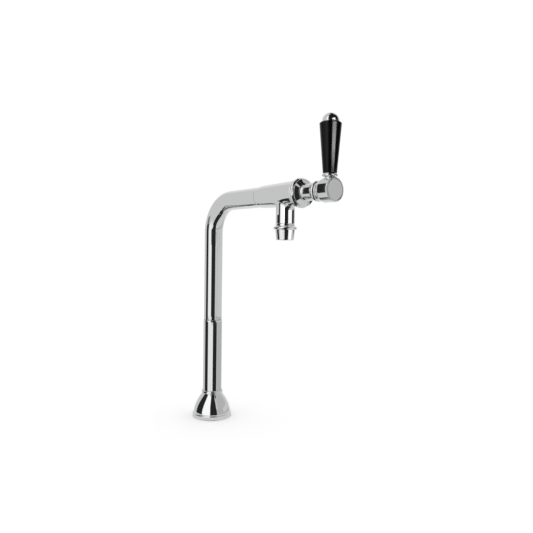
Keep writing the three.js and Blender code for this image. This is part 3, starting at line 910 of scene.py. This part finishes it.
CAMERA_AZIMUTH = math.radians(-39.46)
CAMERA_TILT = math.radians(1.727)
CAMERA_ROLL = math.radians(0.756)
CAMERA_PLACE = (-0.372683, -0.556787, 0.207464)
LENS_MM = 36.154

ROOM_LIGHT = 0.6  # what the metal sees where no board or strip light stands
DARK = 0.02  # light of the dark boards round the column and the tap
BLACK = 0.01  # light of those round the handle and the finial
FLOOR_SIZE = 6.0
FLOOR_GAP = 0.0002  # keeps the floor clear of the part's underside
BOARD_STEPS = 24
HARD_EDGE = 1e-4  # shortest fade at a board's ends

# Reach of the places that the boards and lights turn round, in millimetres along the arm.
AT_COLUMN, AT_MIDDLE, AT_NOZZLE, AT_HANDLE = 0, 60, 134, 197

# The large boards stand in three bands of height, which the sleeve, the riser, then the bell and
# the tap see. Low boards close to the bell show in its foot.
FAR = 1.2
SLEEVE_BAND, RISER_BAND, BELL_BAND = (-0.3, -0.038), (-0.038, 0.28), (0.28, 2.5)
CLOSE = 0.045
RIM_BAND, SKIRT_BAND = (-0.012, 0.0022), (0.0022, 0.0215)

# Pieces that share a strip light.
TAP = ["beaded_nozzle", "tap_casting"]
FINIAL = ["domed_finial", "beaded_ferrule"]


def camera():
    """The photograph's view: the camera's own back, right and up directions from its angles."""
    back = Vector((
        math.sin(CAMERA_AZIMUTH) * math.cos(CAMERA_TILT),
        -math.cos(CAMERA_AZIMUTH) * math.cos(CAMERA_TILT),
        math.sin(CAMERA_TILT),
    ))
    level = Vector((math.cos(CAMERA_AZIMUTH), math.sin(CAMERA_AZIMUTH), 0))
    rise = back.cross(level)
    right = level * math.cos(CAMERA_ROLL) + rise * math.sin(CAMERA_ROLL)
    up = rise * math.cos(CAMERA_ROLL) - level * math.sin(CAMERA_ROLL)
    data = bpy.data.cameras.new("camera")
    data.sensor_width = 36
    data.lens = LENS_MM
    data.clip_start = 0.01
    made = bpy.data.objects.new("camera", data)
    axes = Matrix((right, up, back)).transposed().to_4x4()
    made.matrix_world = Matrix.Translation(CAMERA_PLACE) @ axes
    bpy.context.scene.collection.objects.link(made)
    bpy.context.scene.camera = made


def world():
    """Even white light for the camera and the floor, and a soft grey room in the reflections."""
    made = bpy.data.worlds.new("studio")
    bpy.context.scene.world = made
    made.use_nodes = True
    tree = made.node_tree
    tree.nodes.clear()
    path = add_node(tree, "ShaderNodeLightPath")
    even = add_node(tree, "ShaderNodeBackground", {"Color": (1, 1, 1, 1)})
    grey = (ROOM_LIGHT, ROOM_LIGHT, ROOM_LIGHT, 1)
    room = add_node(tree, "ShaderNodeBackground", {"Color": grey})
    inputs = {0: path.outputs["Is Glossy Ray"], 1: even.outputs[0], 2: room.outputs[0]}
    mix = add_node(tree, "ShaderNodeMixShader", inputs)
    add_node(tree, "ShaderNodeOutputWorld", {"Surface": mix.outputs[0]})


def floor():
    """White matt floor just under the part, which the metal doesn't see."""
    bm = bmesh.new()
    bmesh.ops.create_grid(bm, x_segments=1, y_segments=1, size=FLOOR_SIZE / 2)
    mesh = bpy.data.meshes.new("studio_floor")
    bm.to_mesh(mesh)
    bm.free()
    made = bpy.data.objects.new("studio_floor", mesh)
    made.location.z = -FLOOR_GAP
    bpy.context.scene.collection.objects.link(made)
    finish = Finish("studio_floor", (0.93, 0.93, 0.93), 0.0, 0.6)
    finish.shader.inputs["Specular IOR Level"].default_value = 0.0
    finish.shader.inputs["Emission Color"].default_value = (1, 1, 1, 1)
    finish.shader.inputs["Emission Strength"].default_value = 0.1
    mesh.materials.append(finish.material)
    made.visible_glossy = False


def seen_from(reach, bearing_deg, distance):
    """Plan position at a bearing from the arm at that reach, counted from the line of sight
    towards the camera's right. Metres."""
    origin = Vector((0, -reach * MM))
    sight = (Vector(CAMERA_PLACE[:2]) - origin).normalized()
    right = Vector((-sight.y, sight.x))
    bearing = math.radians(bearing_deg)
    return origin + (sight * math.cos(bearing) + right * math.sin(bearing)) * distance


def glow(name, light, soft):
    """Board material: even light that fades into the room's at its two ends."""
    material = bpy.data.materials.new(name)
    material.use_nodes = True
    tree = material.node_tree
    tree.nodes.clear()
    uv = add_node(tree, "ShaderNodeUVMap", uv_map="across")
    split = add_node(tree, "ShaderNodeSeparateXYZ", {0: uv.outputs[0]})
    inputs = {0: split.outputs["X"], 1: 0.5}
    from_end = add_node(tree, "ShaderNodeMath", inputs, operation="PINGPONG")
    inputs = {
        "Value": from_end.outputs[0],
        "From Max": max(soft, HARD_EDGE),
        "To Min": ROOM_LIGHT,
        "To Max": light,
    }
    ramp = add_node(tree, "ShaderNodeMapRange", inputs, interpolation_type="SMOOTHSTEP")
    emission = add_node(tree, "ShaderNodeEmission", {"Strength": ramp.outputs["Result"]})
    add_node(tree, "ShaderNodeOutputMaterial", {"Surface": emission.outputs[0]})
    return material


def board(name, rows, light, soft=0.0):
    """Curved board that only the metal sees, from rows of points across it."""
    bm = bmesh.new()
    layer = bm.loops.layers.uv.new("across")
    grid = [[bm.verts.new(point) for point in row] for row in rows]
    for one, two in zip(grid, grid[1:]):
        last = len(one) - 1
        for k in range(last):
            face = bm.faces.new((one[k], one[k + 1], two[k + 1], two[k]))
            for loop, across in zip(face.loops, (k, k + 1, k + 1, k)):
                loop[layer].uv = (across / last, 0)
    mesh = bpy.data.meshes.new(name)
    bm.to_mesh(mesh)
    bm.free()
    mesh.materials.append(glow(name, light, soft))
    made = bpy.data.objects.new(name, mesh)
    bpy.context.scene.collection.objects.link(made)
    made.visible_camera = False
    made.visible_diffuse = False
    made.visible_shadow = False


def upright_board(name, reach, bearings, distance, heights, light, soft=0.0):
    """Board bent round a place on the arm, between two bearings and two heights. Its foot and
    its top may stand at two distances."""
    start, end = bearings
    turns = [start + (end - start) * k / BOARD_STEPS for k in range(BOARD_STEPS + 1)]
    distances = distance if isinstance(distance, tuple) else (distance, distance)
    rows = []
    for away, height in zip(distances, heights):
        plan = [seen_from(reach, turn, away) for turn in turns]
        rows.append([(point.x, point.y, height) for point in plan])
    board(name, rows, light, soft)


def fin(name, bearing, reaches, near_heights, far_heights, light):
    """Board standing in a plane through the riser, so the riser only sees its edge."""
    steps = 12
    start, end = reaches
    rows = []
    for near, far in zip(near_heights, far_heights):
        row = []
        for k in range(steps + 1):
            point = seen_from(0, bearing, start + (end - start) * k / steps)
            row.append((point.x, point.y, near + (far - near) * k / steps))
        rows.append(row)
    board(name, rows, light)


def under_strip():
    """Dark strip from in front, down and back under the tap: the line below the arm."""
    # Distance and bearing from the column, height and half width of each stop.
    stops = [(1.2, -3, -0.28, 0.6), (1.2, -3, -0.6, 0.5), (0.6, 0, -0.62, 0.36)]
    stops += [(0, 5, -0.62, 0.25), (0.25, -146, -0.62, 0.26), (0.9, -146, -0.62, 0.21)]
    stops += [(1.3, -146, -0.62, 0.12)]
    across = seen_from(0, 95, 1)
    rows = []
    for distance, bearing, height, half_width in stops:
        centre = seen_from(0, bearing, distance)
        row = []
        for side in (-1, 0, 1):
            point = centre + across * half_width * side
            row.append((point.x, point.y, height))
        rows.append(row)
    board("under_strip", rows, DARK)


def foot_cover():
    """Small level dark card at the lens's height that hides the bell from the bend above it."""
    height = CAMERA_PLACE[2]
    sides, ends = (-0.0095, 0.0025), (-0.0245, -0.0118)
    rows = [[(x, y, height) for x in sides] for y in ends]
    board("foot_cover", rows, DARK)


def tap_flag():
    """Small dark flag curled round the arm's axis, beside the bonnet and the lever's boss."""
    radius, nearest, farthest = 0.118, 0.054, 0.101
    start_deg, turn_deg = -26, 84
    rows = []
    for k in range(BOARD_STEPS + 1):
        angle = math.radians(start_deg + turn_deg * k / BOARD_STEPS)
        x, z = -radius * math.cos(angle), ARM_HEIGHT * MM + radius * math.sin(angle)
        rows.append([(x, -nearest, z), (x, -farthest, z)])
    board("tap_flag", rows, DARK)


def strip_light(name, reach, bearing_deg, distance, height, size, power, lit):
    """Soft strip that lights only the named pieces."""
    data = bpy.data.lights.new(name, "AREA")
    data.shape = "RECTANGLE"
    data.size, data.size_y = size
    data.energy = power
    made = bpy.data.objects.new(name, data)
    plan = seen_from(reach, bearing_deg, distance)
    made.location = (plan.x, plan.y, height)
    target = Vector((0, -reach * MM, height))
    made.rotation_mode = "QUATERNION"
    made.rotation_quaternion = (target - made.location).to_track_quat("-Z", "Y")
    bpy.context.scene.collection.objects.link(made)
    group = bpy.data.collections.new(name)
    for piece_name in lit:
        group.objects.link(bpy.data.objects[piece_name])
    made.light_linking.receiver_collection = group


camera()
world()
floor()

upright_board("sleeve_bright", AT_COLUMN, (-58, -19), FAR, SLEEVE_BAND, 0.84, 0.05)
upright_board("sleeve_dark", AT_COLUMN, (-18, 50), FAR, SLEEVE_BAND, DARK)
upright_board("sleeve_grey", AT_COLUMN, (51, 140), FAR, SLEEVE_BAND, 0.46, 0.1)
strip_light("sleeve_strip", AT_COLUMN, -8, 1.1, -0.16, (0.4, 0.26), 0.27, ["column_sleeve"])
strip_light("bend_strip", AT_COLUMN, 36, 1.1, -0.17, (0.5, 0.26), 0.2, ["swan_neck_tube"])
upright_board("riser_bright", AT_COLUMN, (-68, -26), FAR, RISER_BAND, 0.9, 0.1)
upright_board("riser_dark", AT_COLUMN, (-25, 36), FAR, RISER_BAND, DARK)
upright_board("riser_grey", AT_COLUMN, (36, 60), FAR, RISER_BAND, 0.55)
strip_light("riser_strip", AT_COLUMN, 30, 1.1, 0.121, (0.27, 0.32), 0.145, ["swan_neck_tube"])
upright_board("bell_bright", AT_COLUMN, (-62, -13), FAR, BELL_BAND, 1.05, 0.05)
upright_board("bell_dark", AT_COLUMN, (-12, 29), FAR, BELL_BAND, DARK)
upright_board("bell_grey", AT_COLUMN, (30, 130), FAR, BELL_BAND, 0.48, 0.2)
upright_board("skirt_bright", AT_COLUMN, (-47, -9), CLOSE, SKIRT_BAND, 1.05)
upright_board("skirt_dark", AT_COLUMN, (-9, 23), CLOSE, SKIRT_BAND, DARK)
upright_board("skirt_grey", AT_COLUMN, (24, 60), CLOSE, SKIRT_BAND, 0.46)
upright_board("rim_board", AT_COLUMN, (-140, 140), CLOSE, RIM_BAND, 0.62)
upright_board("backdrop", AT_MIDDLE, (142, 218), 1.4, (-0.8, 1.6), 0.74, 0.2)

# Flags, fins and cards near the metal give its thin dark edges and lines.
upright_board("riser_edge_flag", AT_COLUMN, (-78, -51), 0.02, (0.11, 0.238), DARK)
upright_board("riser_edge_fade", AT_COLUMN, (-78, -51), 0.02, (0.238, 0.248), 0.2)
upright_board("foot_edge_flag", AT_COLUMN, (-97, -54), 0.06, (0.0, 0.112), DARK)
under_strip()
foot_cover()
tap_flag()
upright_board("outlet_edge_flag", AT_NOZZLE, (-97, -68), 0.03, (0.212, 0.246), DARK)
fin("outlet_fin", 75, (0.2, 1.15), (0.21, 0.262), (0.21, 0.334), DARK)
strip_light("outlet_left", AT_NOZZLE, -15.5, 1, 0.17, (0.26, 0.34), 0.225, TAP)
strip_light("outlet_right", AT_NOZZLE, 61, 0.4, 0.22, (0.34, 0.2), 0.12, TAP)
fin("handle_fin", 4.7, (0.283, 1.15), (0.264, 0.36), (0.25, 0.45), BLACK)
upright_board("handle_edge_flag", AT_HANDLE, (66, 113), 0.06, (0.287, 0.375), BLACK)
upright_board("finial_middle", AT_HANDLE, (-32, 12), 0.08, (0.34, 0.39), BLACK)
upright_board("finial_upper", AT_HANDLE, (-36, 125), 0.08, (0.39, 0.48), BLACK)
upright_board("finial_top", AT_HANDLE, (-60, 200), (0.08, 0.002), (0.48, 0.5), BLACK)
strip_light("handle_strip", AT_HANDLE, 41, 0.9, 0.365, (0.66, 0.13), 4.9, ["tapered_handle"])
strip_light("finial_strip", AT_HANDLE, 38, 0.9, 0.61, (0.62, 0.5), 0.97, FINIAL)

bpy.context.scene.view_settings.view_transform = "Standard"
